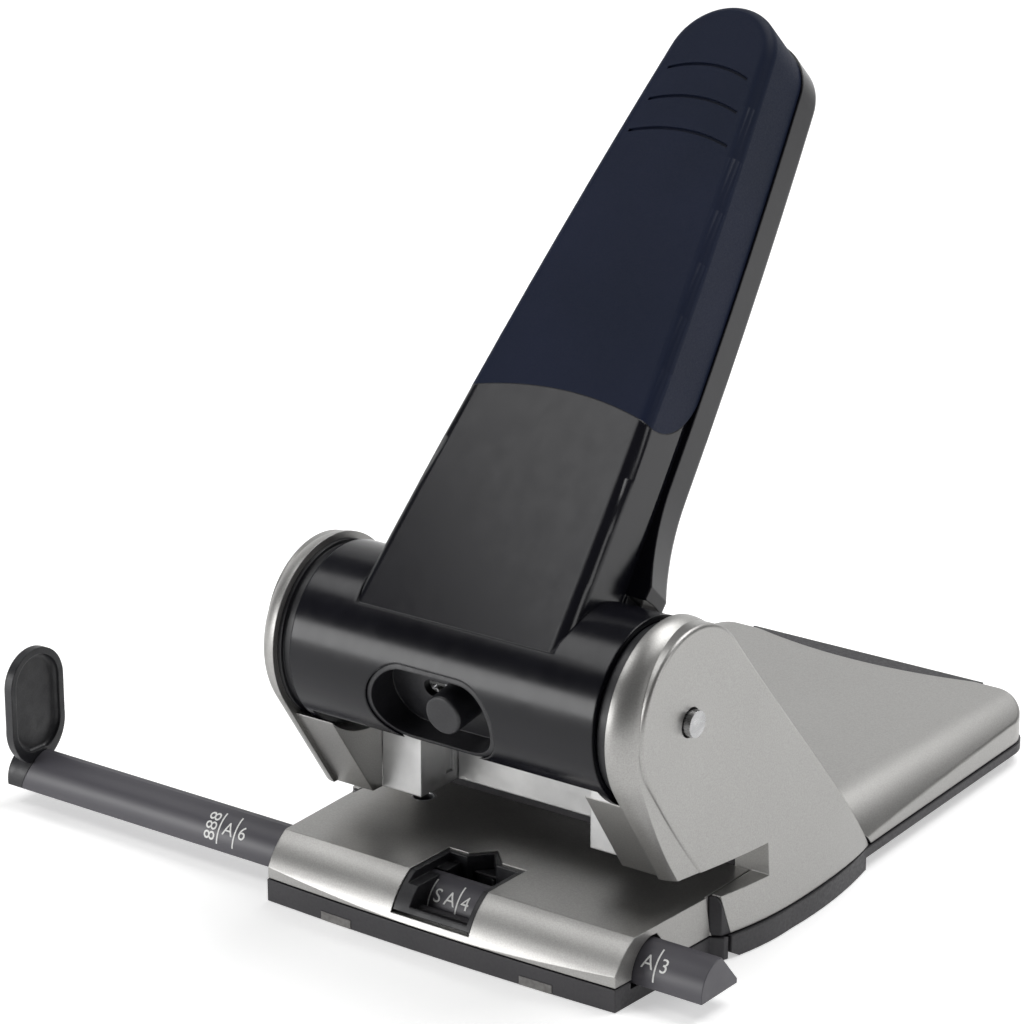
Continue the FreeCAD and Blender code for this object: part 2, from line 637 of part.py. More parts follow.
def recess_tool(inset, low_r, high_r):
    """Racetrack column through the barrel's front, facing its middle angle."""
    middle = math.radians((RECESS_LOW + RECESS_HIGH) / 2)
    half = BARREL_R * math.radians(RECESS_HIGH - RECESS_LOW) / 2 - inset
    left, right = RECESS_LEFT + inset + half, RECESS_RIGHT - inset - half
    column = prism_y([(left, -half), (right, -half), ((right + half, 0), (right, half)), (left, half),
                      ((left - half, 0), (left, -half))], (-high_r, -low_r))
    column.rotate(V(0, 0, 0), V(1, 0, 0), -math.degrees(middle))
    column.translate(V(0, 0, PIVOT_Z))
    return column


def recess_insert():
    """Dark cup behind the barrel's opening, slotted for the lock knob."""
    cup = recess_tool(0.1, 12.4, 40.0).common(cyl_x(BARREL_R - 0.6, (-60, 60), 0, PIVOT_Z))
    pocket = recess_tool(1.5, 14.6, 40.0)
    slot = knob_block(KNOB_R * 0.45, 8.0, 16.0, KNOB_REACH)
    return carve(cup, pocket, slot)


def knob_block(radius, low_r, high_r, reach):
    """Slot-shaped column for a stem that slides along X."""
    x0, x1 = KNOB_X + reach[0], KNOB_X + reach[1]
    column = prism_y([(x0, -radius), (x1, -radius), ((x1 + radius, 0), (x1, radius)), (x0, radius),
                      ((x0 - radius, 0), (x0, -radius))], (-high_r, -low_r))
    column.rotate(V(0, 0, 0), V(1, 0, 0), KNOB_DROP)
    column.translate(V(0, 0, PIVOT_Z))
    return column


def radial_pin(radius, low_r, high_r):
    """Pin pointing out of the barrel at the lock knob."""
    pin = Part.makeCylinder(radius, high_r - low_r, V(KNOB_X, -high_r, 0), V(0, 1, 0))
    pin.rotate(V(0, 0, 0), V(1, 0, 0), KNOB_DROP)
    pin.translate(V(0, 0, PIVOT_Z))
    return pin


def lock_knob():
    """Round head and stem of the lock."""
    head = round_edges(radial_pin(KNOB_R, 15.0, 24.6), 0.8, lambda e: e.CenterOfMass.y < -22)
    stem = radial_pin(1.9, BOLT_R, 15.5)
    return join(head, stem)


def lock_bolt():
    """Flat bolt on the knob's stem inside the barrel."""
    bolt = box((KNOB_X - 9, KNOB_X + 9), (-BOLT_R, 1.8 - BOLT_R), (-3.2, 3.2))
    bolt.rotate(V(0, 0, 0), V(1, 0, 0), KNOB_DROP)
    bolt.translate(V(0, 0, PIVOT_Z))
    return bolt


def cam_plate(side):
    """Steel hub plate whose nose presses the punch pin."""
    x = (PUNCH_X - 4.0, PUNCH_X + 4.0)
    hub = cyl_x(11.0, x, 0, PIVOT_Z)
    nose_at = on_pivot(CAM_START, CAM_R)
    nose = cyl_x(CAM_NOSE, x, *nose_at)
    arm = box(x, (0, CAM_R), (-3.5, 3.5))
    arm.rotate(V(0, 0, 0), V(1, 0, 0), math.degrees(CAM_START))
    arm.translate(V(0, 0, PIVOT_Z))
    bush = cyl_x(6.0, (x[0] - 1, x[1] + 1), 0, PIVOT_Z)
    whole = carve(join(hub, nose, arm), bush)
    return whole if side > 0 else mirrored(whole)


def hub_bushes():
    """Brass sleeves between the cam plates and the shaft."""
    bush = cyl_x(6.0, (PUNCH_X - 6.0, PUNCH_X + 4.6), 0, PIVOT_Z).cut(
        cyl_x(SHAFT_R, (20, 60), 0, PIVOT_Z))
    return both(bush)


def cam_bridge():
    """Steel tube that ties both cam plates together round the shaft."""
    span = PUNCH_X - 6.0
    return cyl_x(BRIDGE_R, (-span, span), 0, PIVOT_Z).cut(cyl_x(SHAFT_R + 1.0, (-60, 60), 0, PIVOT_Z))


# ---- punch pins ----------------------------------------------------------
def pin_top():
    """Height of the pins' tops with the lever up."""
    return PIVOT_Z + CAM_R * math.sin(CAM_START) - CAM_NOSE - 0.35


def punch_pin(side):
    """Hardened pin with a hollow-ground tip and a head for the spring."""
    r = HOLE_D / 2
    shank = cyl_z(r, PUNCH_X, PUNCH_Y, (THROAT_Z[1] + 0.6, pin_top() - 1.0))
    head = cyl_z(r + 0.9, PUNCH_X, PUNCH_Y, (pin_top() - 4.2, pin_top()))
    grind = cyl_y(5.0, PUNCH_X, (0, 40), THROAT_Z[1] - 3.0)
    whole = carve(join(shank, head), grind)
    return whole if side > 0 else mirrored(whole)


def spring_cap(side):
    """Washer under the pin head that holds the return spring."""
    ring = cyl_z(5.2, PUNCH_X, PUNCH_Y, (pin_top() - 5.6, pin_top() - 4.2))
    whole = ring.cut(cyl_z(HOLE_D / 2, PUNCH_X, PUNCH_Y, (0, 90)))
    return whole if side > 0 else mirrored(whole)


def return_spring(side):
    """Compression spring between the guide boss and the spring cap."""
    wire_r, mean_r = 0.55, 4.1
    low, high = BOSS_Z + wire_r + 0.02, pin_top() - 5.6 - wire_r - 0.02
    helix = Part.makeHelix((high - low) / 5.0, high - low, mean_r)
    section = Part.Wire([Part.makeCircle(wire_r, V(mean_r, 0, 0), V(0, 1, 0.12))])
    coil = Part.Wire(helix.Edges).makePipeShell([section], True, True)
    coil.translate(V(PUNCH_X, PUNCH_Y, low))
    solid = Part.Solid(coil) if coil.ShapeType != "Solid" else coil
    return solid if side > 0 else mirrored(solid)


# ---- guide bar body ------------------------------------------------------
def bar_end(x):
    """Half space to the left of the slanted joint between the bar and its end cap."""
    return prism_y([(-300, -10), (-300, 40), (x, 40), (x, BAR_RIDGE[1] - 2.4), (x - 2.4, BAR_FOOT_Z),
                    (x - 2.4, -10)], (-60, 60))


def guide_bar():
    """Extruded bar with a groove below and a detent notch for each paper format."""
    bar = prism_x(bar_profile(), (BAR_LEFT, BAR_RIGHT))
    groove = box((-200, 60), (-13.5, -6.5), (0, BAR_FOOT_Z + 2.2))
    notches = []
    for mark in FORMAT_MARKS:
        x = STOP_FACE_X + STOP_PLAY + mark
        notches.append(cyl_z(1.0, x, BAR_BACK_Y + 0.55, (0, 30)))
    return carve(bar, groove, bar_end(STOP_FACE_X + 0.1), *notches)


def stop_tab():
    """Black end stop: an oblong dished plate that stands on the bar's end cap."""
    face = STOP_FACE_X
    plate = prism_x([(-22.3, 24.0), (-22.3, 35.0), ((-11.9, 45.4), (-1.5, 35.0)), (-1.5, 24.0),
                     ((-3.2, 16.6), (-7.6, 12.4)), (-16.0, 12.4), ((-20.6, 16.6), (-22.3, 24.0))],
                    (face - STOP_THICK, face))
    plate = round_edges(plate, 1.1, lambda e: abs(e.CenterOfMass.x - face + STOP_THICK) < 1e-3)
    dish = prism_x([(-20.4, 24.4), (-20.4, 35.0), ((-11.9, 43.5), (-3.4, 35.0)), (-3.4, 24.4),
                    ((-4.9, 18.4), (-9.0, 15.4)), (-14.8, 15.4), ((-18.9, 18.4), (-20.4, 24.4))],
                   (face - 1.7, face + 1))
    dish = round_edges(dish, 1.4, lambda e: abs(e.CenterOfMass.x - face + 1.7) < 1e-3)
    cap = prism_x(bar_profile(), (BAR_LEFT, face + 2)).common(bar_end(face))
    return carve(join(plate.cut(dish), cap))


# ---- chip tray body ------------------------------------------------------
def chip_tray():
    """Dark plastic tray under the base; its floor steps up towards the rear lip."""
    top = SKIRT_Z - 0.4
    plan = prism_z(side_plan(-0.5), (0, top)).common(box((-90, 90), (SPLIT_Y + 0.8, 220), (0, 40)))
    room = prism_z(side_plan(1.9), (0, 40)).common(box((-90, 90), (SPLIT_Y + 2.8, 220), (0, 40)))
    low_floor = prism_x([(0, 1.6), (0, 40), (220, 40), (220, STEP_Z + 1.6), (STEP_Y + 3, STEP_Z + 1.6),
                         (STEP_Y + 0.5, 1.6)], (-90, 90))
    under_rear = box((-90, 90), (STEP_Y + 0.5, 220), (-1, STEP_Z))
    feet = [cyl_z(6.2, x, 160.0, (-1, STEP_Z + 0.6)) for x in (-38.0, 38.0)]
    lip = prism_z([(-39.4, REAR_Y + 0.4), (-39.4, REAR_Y - 0.2), ((0, REAR_Y - 6.1), (39.4, REAR_Y - 0.2)),
                   (39.4, REAR_Y + 0.4)], (STEP_Z, THROAT_Z[0] - 0.2))
    knuckles = [cyl_x(1.8, x, *HINGE) for x in ((-35.8, -24.2), (24.2, 35.8))]
    tongues = [box(x, (HINGE[0], SPLIT_Y + 3), (0.8, 3.6)) for x in ((-35.8, -24.2), (24.2, 35.8))]
    ear_rooms = []
    for x in (-38.0, -22.0, 22.0, 38.0):
        ear_rooms.append(box((x - 2.2, x + 2.2), (SPLIT_Y - 2, HINGE[0] + 2.3), (0.4, 7)))
    toe = prism_x([(SPLIT_Y - 1, -0.1), (SPLIT_Y + 3.6, -0.1), (SPLIT_Y - 1, 2.6)], (-70, 70))
    bores = [cyl_x(1.05, x, *HINGE) for x in ((-41, -19), (19, 41))]
    body = carve(plan, room.common(low_floor), under_rear, toe, *feet)
    return carve(join(body, lip, *knuckles, *tongues), *ear_rooms, *bores)


def rear_feet():
    """Two pads under the chip tray."""
    return Part.makeCompound([cyl_z(6.0, x, 160.0, (0.0, STEP_Z + 0.6)) for x in (-38.0, 38.0)])


def tray_hinge():
    """Steel pins through the tray's knuckles and the pan's ears."""
    return both(cyl_x(1.0, (20.4, 39.6), *HINGE))


# ---- build ---------------------------------------------------------------
def main():
    """Build and save every node."""
    os.makedirs("parts", exist_ok=True)
    shell, back, grip = lever_parts()
    save("front_cover", front_cover())
    save("window_bezel", window_bezel())
    save("cheek_left", cheek(-1))
    save("cheek_right", cheek(1))
    save("rear_cover", rear_cover())
    save("mechanism_cover", mechanism_cover())
    save("punch_guide_left", punch_guide(-1))
    save("punch_guide_right", punch_guide(1))
    save("guide_bridge", guide_bridge())
    save("paper_stop", paper_stop())
    save("chassis_plate", chassis())
    save("die_plate", die_plate())
    save("frame_posts", frame_posts())
    save("chassis_screws", screws([(s * 30.0, y) for s in (-1, 1) for y in (28.5, 56.0)], 9.0, 6.0))
    save("pivot_shaft", pivot_shaft())
    save("spacer_rings", spacer_rings())
    save("side_strips", side_strips())
    save("guide_channel", guide_channel())
    save("detent_spring", detent_spring())
    save("front_pan", front_pan())
    save("front_feet", front_feet())
    save("handle_shell", handle_frame(shell))
    save("handle_back", handle_frame(back))
    save("soft_grip", handle_frame(edge_strips(grip_grooves(grip))))
    save("lever_core", handle_frame(lever_core()))
    save("barrel_shell", barrel_shell())
    save("recess_insert", recess_insert())
    save("cam_plate_left", cam_plate(-1))
    save("cam_plate_right", cam_plate(1))
    save("cam_bridge", cam_bridge())
    save("hub_bushes", hub_bushes())
    save("lock_knob", lock_knob())
    save("lock_bolt", lock_bolt())
    for side, word in ((-1, "left"), (1, "right")):
        save(f"punch_pin_{word}", punch_pin(side))
        save(f"spring_cap_{word}", spring_cap(side))
        save(f"return_spring_{word}", return_spring(side))
    save("guide_bar", guide_bar())
    save("stop_tab", stop_tab())
    save("chip_tray", chip_tray())
    save("rear_feet", rear_feet())
    save("tray_hinge_pins", tray_hinge())


main()
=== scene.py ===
"""Looks of a two-hole desk punch: materials, printed scale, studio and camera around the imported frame."""
import math

import bmesh
import bpy
from mathutils import Matrix, Vector
from mathutils.bvhtree import BVHTree


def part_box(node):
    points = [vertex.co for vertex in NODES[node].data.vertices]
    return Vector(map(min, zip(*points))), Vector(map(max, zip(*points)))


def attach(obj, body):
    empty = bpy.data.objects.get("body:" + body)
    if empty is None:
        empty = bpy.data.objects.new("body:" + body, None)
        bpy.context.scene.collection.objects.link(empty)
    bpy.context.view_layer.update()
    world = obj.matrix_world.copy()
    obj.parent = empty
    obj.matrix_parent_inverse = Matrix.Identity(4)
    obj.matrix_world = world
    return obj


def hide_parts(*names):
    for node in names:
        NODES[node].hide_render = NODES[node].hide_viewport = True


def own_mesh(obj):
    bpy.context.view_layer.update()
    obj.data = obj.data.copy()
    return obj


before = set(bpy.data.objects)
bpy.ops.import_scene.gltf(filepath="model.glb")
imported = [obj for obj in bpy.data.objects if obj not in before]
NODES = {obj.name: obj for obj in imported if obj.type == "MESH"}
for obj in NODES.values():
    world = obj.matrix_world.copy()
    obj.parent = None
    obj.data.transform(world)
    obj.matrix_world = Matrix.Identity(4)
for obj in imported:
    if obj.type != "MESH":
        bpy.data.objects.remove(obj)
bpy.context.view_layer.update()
MM = 0.001

# ---- camera --------------------------------------------------------------
CAMERA_TURN = math.radians(36.42)     # round the object from the front, towards +X
CAMERA_DOWN = math.radians(18.96)     # looking down
CAMERA_LENS = 132.8                   # mm on a 36 mm sensor
CAMERA_DISTANCE = 982.1 * MM          # to the plane through the frame's origin
CAMERA_RIGHT = 4.34 * MM              # camera's offset from the origin, across the view
CAMERA_UP = 106.24 * MM               # and up the view

# ---- printed scale -------------------------------------------------------
SET_FORMAT = 148.5                    # half the width of the paper the stop is set for
SCALE = (("A", "6", 74.0), ("A", "5", 105.0), ("U", "S", 139.7), ("A", "4", 148.5), ("A", "3", 210.0))
SIDE_MARK = ("888", 68.5)
LETTER = 3.9 * MM
FONT_SIZE = 1.35 * LETTER             # a font's size is larger than its capitals
LETTER_LEFT = -2.5 * MM               # middle of the letter left of a mark's line
LETTER_RIGHT = 2.3 * MM
SIDE_LETTERS = -2.6 * MM
MARK_LINE = 8.6 * MM
MARK_WIDTH = 0.45 * MM
RIDGE_AT = 0.44                       # the bar's ridge, as a share of its depth
PRINT_LIFT = 0.03 * MM

# ---- coil springs --------------------------------------------------------
SPRING_WIRE = 0.55 * MM               # radius of the wire
SPRING_TURNS = 7
TURN_POINTS = 24


# ---- node helpers --------------------------------------------------------
class Shader:
    """A material with a Principled shader and short calls for its detail."""

    def __init__(self, name, color, roughness, metallic=0.0, **sockets):
        self.material = bpy.data.materials.new(name)
        self.material.use_nodes = True
        self.tree = self.material.node_tree
        self.principled = self.tree.nodes["Principled BSDF"]
        self.principled.inputs["Base Color"].default_value = (*color, 1.0)
        self.principled.inputs["Roughness"].default_value = roughness
        self.principled.inputs["Metallic"].default_value = metallic
        for key, value in sockets.items():
            self.principled.inputs[key.replace("_", " ")].default_value = value
        self.place = self.node("ShaderNodeTexCoord").outputs["Object"]

    def node(self, kind, **settings):
        """New node of a kind, with its settings."""
        made = self.tree.nodes.new(kind)
        for key, value in settings.items():
            setattr(made, key, value)
        return made

    def link(self, a, b):
        """Join an output to an input."""
        self.tree.links.new(a, b)

    def stretched(self, scale):
        """Object coordinates scaled by axis."""
        mapping = self.node("ShaderNodeMapping")
        mapping.inputs["Scale"].default_value = scale
        self.link(self.place, mapping.inputs["Vector"])
        return mapping.outputs["Vector"]

    def noise(self, scale, detail=3.0, stretch=None, rough=0.5):
        """Noise pattern in object coordinates."""
        made = self.node("ShaderNodeTexNoise")
        made.inputs["Scale"].default_value = scale
        made.inputs["Detail"].default_value = detail
        made.inputs["Roughness"].default_value = rough
        self.link(self.stretched(stretch) if stretch else self.place, made.inputs["Vector"])
        return made.outputs["Fac"]

    def ramp(self, value, low, high):
        """Map a 0..1 pattern to a range of numbers."""
        made = self.node("ShaderNodeMapRange")
        made.inputs["From Min"].default_value = 0.3
        made.inputs["From Max"].default_value = 0.7
        made.inputs["To Min"].default_value = low
        made.inputs["To Max"].default_value = high
        self.link(value, made.inputs["Value"])
        return made.outputs["Result"]

    def tint(self, value, dark, light):
        """Colour that varies between two values with a pattern."""
        made = self.node("ShaderNodeMix", data_type="RGBA")
        made.inputs["A"].default_value = (*dark, 1.0)
        made.inputs["B"].default_value = (*light, 1.0)
        self.link(self.ramp(value, 0.0, 1.0), made.inputs["Factor"])
        self.link(made.outputs["Result"], self.principled.inputs["Base Color"])

    def rough(self, value, low, high):
        """Roughness that varies between two values with a pattern."""
        self.link(self.ramp(value, low, high), self.principled.inputs["Roughness"])

    def relief(self, patterns, edge=0.35 * MM):
        """Bump from (pattern, depth in metres) pairs over softly rounded edges."""
        bevel = self.node("ShaderNodeBevel", samples=6)
        bevel.inputs["Radius"].default_value = edge
        normal = bevel.outputs["Normal"]
        for pattern, depth in patterns:
            bump = self.node("ShaderNodeBump")
            bump.inputs["Strength"].default_value = 1.0
            bump.inputs["Distance"].default_value = depth
            self.link(pattern, bump.inputs["Height"])
            self.link(normal, bump.inputs["Normal"])
            normal = bump.outputs["Normal"]
        self.link(normal, self.principled.inputs["Normal"])


# ---- materials -----------------------------------------------------------
def silver_paint():
    """Fine-grained metallic paint with a faint orange peel."""
    s = Shader("silver_paint", (0.36, 0.355, 0.345), 0.34, metallic=0.9)
    grain = s.noise(2600.0, 2.0)
    cloud = s.noise(30.0, 3.0)
    s.tint(grain, (0.33, 0.325, 0.315), (0.40, 0.395, 0.385))
    s.rough(cloud, 0.36, 0.42)
    s.relief([(s.noise(180.0, 1.0), 0.003 * MM), (grain, 0.006 * MM)])
    return s.material


def cast_metal():
    """Pale die-cast metal with a slightly uneven skin."""
    s = Shader("cast_metal", (0.6, 0.6, 0.6), 0.42, metallic=0.9)
    skin = s.noise(420.0, 5.0)
    s.tint(s.noise(60.0, 4.0), (0.50, 0.50, 0.50), (0.66, 0.66, 0.655))
    s.rough(skin, 0.36, 0.55)
    s.relief([(skin, 0.03 * MM)], edge=0.5 * MM)
    return s.material


def plated_steel():
    """Rolled and plated steel with faint draw lines."""
    s = Shader("plated_steel", (0.48, 0.49, 0.5), 0.35, metallic=1.0)
    lines = s.noise(60.0, 4.0, stretch=(1.0, 40.0, 1.0))
    s.tint(s.noise(45.0, 4.0), (0.40, 0.41, 0.43), (0.55, 0.555, 0.55))
    s.rough(lines, 0.28, 0.45)
    s.relief([(lines, 0.006 * MM)])
    return s.material


def ground_steel():
    """Turned and ground steel of the pins and the shaft."""
    s = Shader("ground_steel", (0.42, 0.42, 0.425), 0.3, metallic=1.0)
    rings = s.noise(90.0, 3.0, stretch=(1.0, 1.0, 30.0))
    s.tint(s.noise(300.0, 4.0), (0.36, 0.36, 0.365), (0.47, 0.47, 0.475))
    s.rough(rings, 0.22, 0.38)
    s.relief([(rings, 0.004 * MM)], edge=0.25 * MM)
    return s.material


def spring_steel():
    """Dark oil-tempered spring wire."""
    s = Shader("spring_steel", (0.3, 0.3, 0.31), 0.3, metallic=1.0)
    skin = s.noise(500.0, 4.0)
    s.tint(skin, (0.22, 0.22, 0.23), (0.36, 0.36, 0.36))
    s.rough(skin, 0.25, 0.4)
    s.relief([(skin, 0.004 * MM)], edge=0.1 * MM)
    return s.material


def brass_bush():
    """Turned brass of the bearings."""
    s = Shader("brass_bush", (0.6, 0.45, 0.2), 0.32, metallic=1.0)
    rings = s.noise(110.0, 3.0, stretch=(30.0, 1.0, 1.0))
    s.tint(s.noise(200.0, 3.0), (0.5, 0.36, 0.15), (0.68, 0.52, 0.26))
    s.rough(rings, 0.26, 0.4)
    s.relief([(rings, 0.004 * MM)])
    return s.material


def black_gloss():
    """Glossy black moulding: faint waviness and fine handling marks."""
    s = Shader("black_gloss", (0.004, 0.004, 0.006), 0.2, Specular_IOR_Level=0.3)
    marks = s.noise(220.0, 6.0, stretch=(1.0, 1.0, 0.35), rough=0.65)
    s.tint(s.noise(18.0, 3.0), (0.003, 0.003, 0.005), (0.006, 0.006, 0.009))
    s.rough(marks, 0.17, 0.24)
    s.relief([(s.noise(30.0, 1.0), 0.006 * MM), (marks, 0.001 * MM)], edge=0.7 * MM)
    return s.material


def black_satin():
    """Matt to satin black plastic with a spark-eroded texture."""
    s = Shader("black_satin", (0.008, 0.008, 0.010), 0.45)
    grain = s.noise(1700.0, 3.0)
    s.tint(grain, (0.005, 0.005, 0.007), (0.012, 0.012, 0.015))
    s.rough(s.noise(300.0, 3.0), 0.36, 0.52)
    s.relief([(grain, 0.012 * MM)], edge=0.5 * MM)
    return s.material


def soft_touch():
    """Dark navy rubberised skin with a fine matt grain."""
    s = Shader("soft_touch", (0.006, 0.010, 0.026), 0.6, Specular_IOR_Level=0.12)
    grain = s.noise(2400.0, 2.0)
    s.tint(s.noise(25.0, 4.0), (0.005, 0.009, 0.023), (0.008, 0.012, 0.030))
    s.rough(grain, 0.46, 0.62)
    s.relief([(grain, 0.010 * MM)], edge=0.25 * MM)
    return s.material


def charcoal_bar():
    """Extruded charcoal plastic with faint lengthwise lines."""
    s = Shader("charcoal_bar", (0.062, 0.060, 0.070), 0.45)
    lines = s.noise(120.0, 4.0, stretch=(0.04, 1.0, 1.0))
    grain = s.noise(1500.0, 2.0)
    s.tint(s.noise(25.0, 3.0), (0.056, 0.054, 0.064), (0.072, 0.069, 0.080))
    s.rough(lines, 0.36, 0.5)
    s.relief([(lines, 0.008 * MM), (grain, 0.005 * MM)], edge=0.4 * MM)
    return s.material


def grey_plastic():
    """Dark grey moulded plastic of the pan and the tray."""
    s = Shader("grey_plastic", (0.022, 0.020, 0.024), 0.5)
    grain = s.noise(1300.0, 4.0)
    s.tint(s.noise(40.0, 4.0), (0.017, 0.016, 0.019), (0.028, 0.026, 0.030))
    s.rough(grain, 0.42, 0.6)
    s.relief([(grain, 0.02 * MM)], edge=0.5 * MM)
    return s.material


def pad_rubber():
    """Pale grey rubber of the feet."""
    s = Shader("pad_rubber", (0.16, 0.155, 0.15), 0.8)
    grain = s.noise(900.0, 5.0)
    s.tint(grain, (0.12, 0.115, 0.11), (0.2, 0.195, 0.19))
    s.rough(grain, 0.7, 0.9)
    s.relief([(grain, 0.05 * MM)])
    return s.material


def print_ink():
    """White pad-printed ink with small pinholes."""
    s = Shader("print_ink", (0.8, 0.8, 0.78), 0.5)
    holes = s.noise(3500.0, 2.0)
    s.tint(holes, (0.62, 0.62, 0.61), (0.86, 0.86, 0.84))
    s.rough(holes, 0.4, 0.6)
    return s.material


def floor_paper():
    """Seamless white studio paper, lit from behind like a light table."""
    s = Shader("floor_paper", (0.86, 0.86, 0.86), 0.85,
               Emission_Color=(1.0, 1.0, 1.0, 1.0), Emission_Strength=0.45)
    fibre = s.noise(900.0, 4.0)
    s.tint(s.noise(6.0, 3.0), (0.85, 0.85, 0.85), (0.875, 0.875, 0.87))
    s.rough(fibre, 0.8, 0.9)
    s.relief([(fibre, 0.02 * MM)])
    return s.material


LOOKS = {
    silver_paint: ("front_cover", "cheek_left", "cheek_right", "rear_cover", "mechanism_cover"),
    cast_metal: ("punch_guide_left", "punch_guide_right", "guide_bridge",
                 "cam_plate_left", "cam_plate_right"),
    plated_steel: ("chassis_plate", "die_plate", "frame_posts", "chassis_screws", "cam_bridge",
                   "tray_hinge_pins", "lock_bolt", "lever_core"),
    ground_steel: ("pivot_shaft", "punch_pin_left", "punch_pin_right"),
    spring_steel: ("return_spring_left", "return_spring_right", "detent_spring"),
    brass_bush: ("hub_bushes",),
    black_gloss: ("handle_shell", "handle_back", "barrel_shell"),
    black_satin: ("recess_insert", "lock_knob", "stop_tab", "spring_cap_left", "spring_cap_right",
                  "window_bezel", "spacer_rings"),
    soft_touch: ("soft_grip",),
    charcoal_bar: ("guide_bar",),
    grey_plastic: ("chip_tray", "front_pan", "side_strips", "paper_stop", "guide_channel"),
    pad_rubber: ("front_feet", "rear_feet"),
}


def dress_nodes():
    """Give every CAD node its material."""
    for look, names in LOOKS.items():
        material = look()
        for name in names:
            node = NODES[name]
            node.data.materials.clear()
            node.data.materials.append(material)


# ---- return springs ------------------------------------------------------
def return_springs():
    """Coil springs with closed end turns, built in the boxes of the CAD springs."""
    for side in ("left", "right"):
        node = f"return_spring_{side}"
        low, high = (Vector(corner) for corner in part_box(node))
        middle = (low + high) / 2
        coil_r = (high.x - low.x) / 2 - SPRING_WIRE
        closed = 2 * SPRING_WIRE
        open_height = high.z - low.z - 2 * SPRING_WIRE - 2 * closed
        curve = bpy.data.curves.new("spring", "CURVE")
        curve.dimensions = "3D"
        curve.bevel_depth = SPRING_WIRE
        curve.bevel_resolution = 3
        curve.use_fill_caps = True
        spline = curve.splines.new("POLY")
        spline.points.add(SPRING_TURNS * TURN_POINTS)
        for i, point in enumerate(spline.points):
            turn = i / TURN_POINTS
            rise = closed * min(turn, 1.0) + closed * max(turn - SPRING_TURNS + 1, 0.0)
            rise += open_height * min(max((turn - 1) / (SPRING_TURNS - 2), 0.0), 1.0)
            x = middle.x + coil_r * math.cos(turn * math.tau)
            y = middle.y + coil_r * math.sin(turn * math.tau)
            point.co = (x, y, low.z + SPRING_WIRE + rise, 1.0)
        holder = bpy.data.objects.new("spring", curve)
        bpy.context.scene.collection.objects.link(holder)
        bpy.context.view_layer.update()
        mesh = bpy.data.meshes.new_from_object(holder)
        bpy.data.objects.remove(holder)
        mesh.materials.append(NODES[node].data.materials[0])
        piece = bpy.data.objects.new(f"coil_{side}", mesh)
        bpy.context.scene.collection.objects.link(piece)
        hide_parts(node)
        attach(piece, "base")
        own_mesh(piece)


# ---- printed scale on the guide bar --------------------------------------
def surface_of(name):
    """A CAD node's surface, to project the print onto."""
    mesh = NODES[name].data
    return BVHTree.FromPolygons([v.co[:] for v in mesh.vertices], [p.vertices[:] for p in mesh.polygons])


def flat_letters(text):
    """Mesh of a word in its own plane, centred on the origin."""
    curve = bpy.data.curves.new("letters", "FONT")
    curve.body = text
    curve.size = FONT_SIZE
    curve.align_x = "CENTER"
    curve.align_y = "CENTER"
    curve.resolution_u = 4
    holder = bpy.data.objects.new("letters", curve)
    bpy.context.scene.collection.objects.link(holder)
    bpy.context.view_layer.update()
    mesh = bpy.data.meshes.new_from_object(holder)
    bpy.data.objects.remove(holder)
    return mesh


def flat_line():
    """Mesh of one mark's line."""
    mesh = bpy.data.meshes.new("line")
    w, h = MARK_WIDTH / 2, MARK_LINE / 2
    mesh.from_pydata([(-w, -h, 0), (w, -h, 0), (w, h, 0), (-w, h, 0)], [], [(0, 1, 2, 3)])
    return mesh


def print_on(surface, flat, name, body, place, material):
    """Lay a flat mesh on a surface: place maps its plane to a start point and a direction."""
    work = bmesh.new()
    work.from_mesh(flat)
    bmesh.ops.triangulate(work, faces=work.faces)
    for _ in range(4):
        long_edges = [e for e in work.edges if e.calc_length() > 0.5 * MM]
        bmesh.ops.subdivide_edges(work, edges=long_edges, cuts=1, use_grid_fill=False)
        bmesh.ops.triangulate(work, faces=[f for f in work.faces if len(f.verts) > 3])
    lost = []
    for v in work.verts:
        start, direction = place(v.co.x, v.co.y)
        hit, normal, _, _ = surface.ray_cast(start, direction)
        if hit is None:
            lost.append(v)
        else:
            v.co = hit + normal * PRINT_LIFT
    bmesh.ops.delete(work, geom=lost, context="VERTS")
    mesh = bpy.data.meshes.new(name)
    work.to_mesh(mesh)
    work.free()
    piece = bpy.data.objects.new(name, mesh)
    bpy.context.scene.collection.objects.link(piece)
    mesh.materials.append(material)
    thick = piece.modifiers.new("ink", "SOLIDIFY")
    thick.thickness = PRINT_LIFT
    thick.offset = 1.0
    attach(piece, body)
    return piece


def printed_scale():
    """Format marks on the guide bar's front slope, placed by half the width of each paper."""
    ink = print_ink()
    low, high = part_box("guide_bar")
    surface = surface_of("guide_bar")
    foot = Vector((0, low[1], low[2]))
    ridge = Vector((0, low[1] + (high[1] - low[1]) * RIDGE_AT, high[2]))
    up = (ridge - foot).normalized()
    middle = (foot + ridge) / 2
    outward = Vector((0, -up.z, up.y))

    def at(x):
        return lambda u, v: (middle + Vector((x + u, 0, 0)) + up * v + outward * 20 * MM, -outward)

    def at_turned(x):
        return lambda u, v: at(x - v)(0.0, u)

    for left, right, reach in SCALE:
        x = (reach - SET_FORMAT) * MM
        marks = ((flat_letters(left), f"print_{left}_{reach:.0f}", LETTER_LEFT),
                 (flat_letters(right), f"print_{right}{reach:.0f}", LETTER_RIGHT),
                 (flat_line(), f"print_line_{reach:.0f}", 0.0))
        for flat, name, shift in marks:
            print_on(surface, flat, name, "guide", at(x + shift), ink)
    x = (SIDE_MARK[1] - SET_FORMAT) * MM
    print_on(surface, flat_letters(SIDE_MARK[0]), "print_side", "guide", at_turned(x + SIDE_LETTERS), ink)
    print_on(surface, flat_line(), "print_line_side", "guide", at(x), ink)


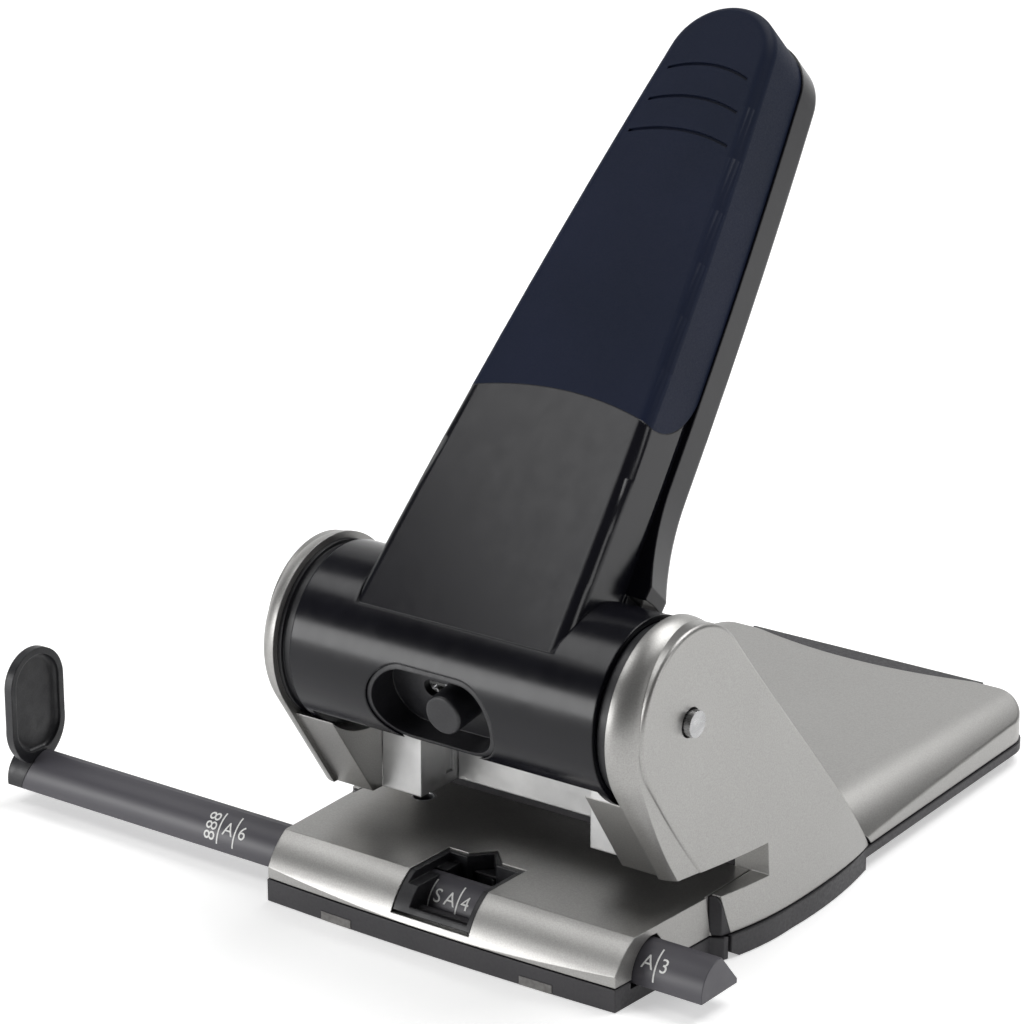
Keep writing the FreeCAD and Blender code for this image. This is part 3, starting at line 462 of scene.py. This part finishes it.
# ---- studio --------------------------------------------------------------
FLOOR_GAP = 0.2 * MM


def studio_floor():
    """Paper sweep that lies just under the object and bends up behind it."""
    mesh = bpy.data.meshes.new("studio_floor")
    half, back, rise, bend = 3.0, 2.2, 2.2, 0.8
    profile = [(-half, 0.0), (back - bend, 0.0)]
    profile += [(back - bend + bend * math.sin(a), bend * (1 - math.cos(a)))
                for a in (math.radians(9 * i) for i in range(1, 11))]
    profile.append((back, rise))
    verts = [(x, y, z - FLOOR_GAP) for y, z in profile for x in (-half, half)]
    faces = [(2 * i, 2 * i + 1, 2 * i + 3, 2 * i + 2) for i in range(len(profile) - 1)]
    mesh.from_pydata(verts, [], faces)
    for polygon in mesh.polygons:
        polygon.use_smooth = True
    floor = bpy.data.objects.new("studio_floor", mesh)
    bpy.context.scene.collection.objects.link(floor)
    mesh.materials.append(floor_paper())
    floor.rotation_euler = (0, 0, CAMERA_TURN)


def softbox(name, place, aim, size, power):
    """White rectangular light at a place, aimed at a point."""
    lamp = bpy.data.lights.new(name, "AREA")
    lamp.shape = "RECTANGLE"
    lamp.size, lamp.size_y = size
    lamp.energy = power
    holder = bpy.data.objects.new(name, lamp)
    holder.location = place
    holder.rotation_euler = (Vector(aim) - Vector(place)).to_track_quat("-Z", "Y").to_euler()
    bpy.context.scene.collection.objects.link(holder)


def lights():
    """Dim surroundings and large weak lights: black parts stay dark and silver ones bright."""
    world = bpy.data.worlds.new("studio")
    world.use_nodes = True
    background = world.node_tree.nodes["Background"]
    background.inputs["Color"].default_value = (1.0, 1.0, 1.0, 1.0)
    background.inputs["Strength"].default_value = 0.09
    bpy.context.scene.world = world
    bpy.context.scene.view_settings.view_transform = "Standard"
    softbox("low_left", (-0.84, -1.21, 0.30), (0, 0, 0.07), (0.9, 0.5), 10.5)
    softbox("high_left", (-0.62, -0.34, 1.25), (0, 0, 0.10), (0.8, 0.6), 4.8)
    softbox("above", (0.25, 0.75, 1.35), (0, 0.10, 0), (1.2, 0.8), 15.0)
    softbox("right", (1.25, 0.25, 0.45), (0, 0.06, 0.05), (0.5, 0.6), 3.0)


def camera():
    """Camera placed by its turn round the object, its tilt and its offset from the origin."""
    turn, down = CAMERA_TURN, CAMERA_DOWN
    right = Vector((math.cos(turn), math.sin(turn), 0))
    ahead = Vector((-math.sin(turn) * math.cos(down), math.cos(turn) * math.cos(down), -math.sin(down)))
    up = right.cross(ahead)
    data = bpy.data.cameras.new("camera")
    data.lens = CAMERA_LENS
    data.sensor_width = 36.0
    data.clip_start, data.clip_end = 0.05, 20.0
    holder = bpy.data.objects.new("camera", data)
    bpy.context.scene.collection.objects.link(holder)
    spot = right * CAMERA_RIGHT + up * CAMERA_UP - ahead * CAMERA_DISTANCE
    axes = Matrix((right, up, -ahead)).transposed().to_4x4()
    holder.matrix_world = Matrix.Translation(spot) @ axes
    bpy.context.scene.camera = holder


dress_nodes()
return_springs()
printed_scale()
studio_floor()
lights()
camera()
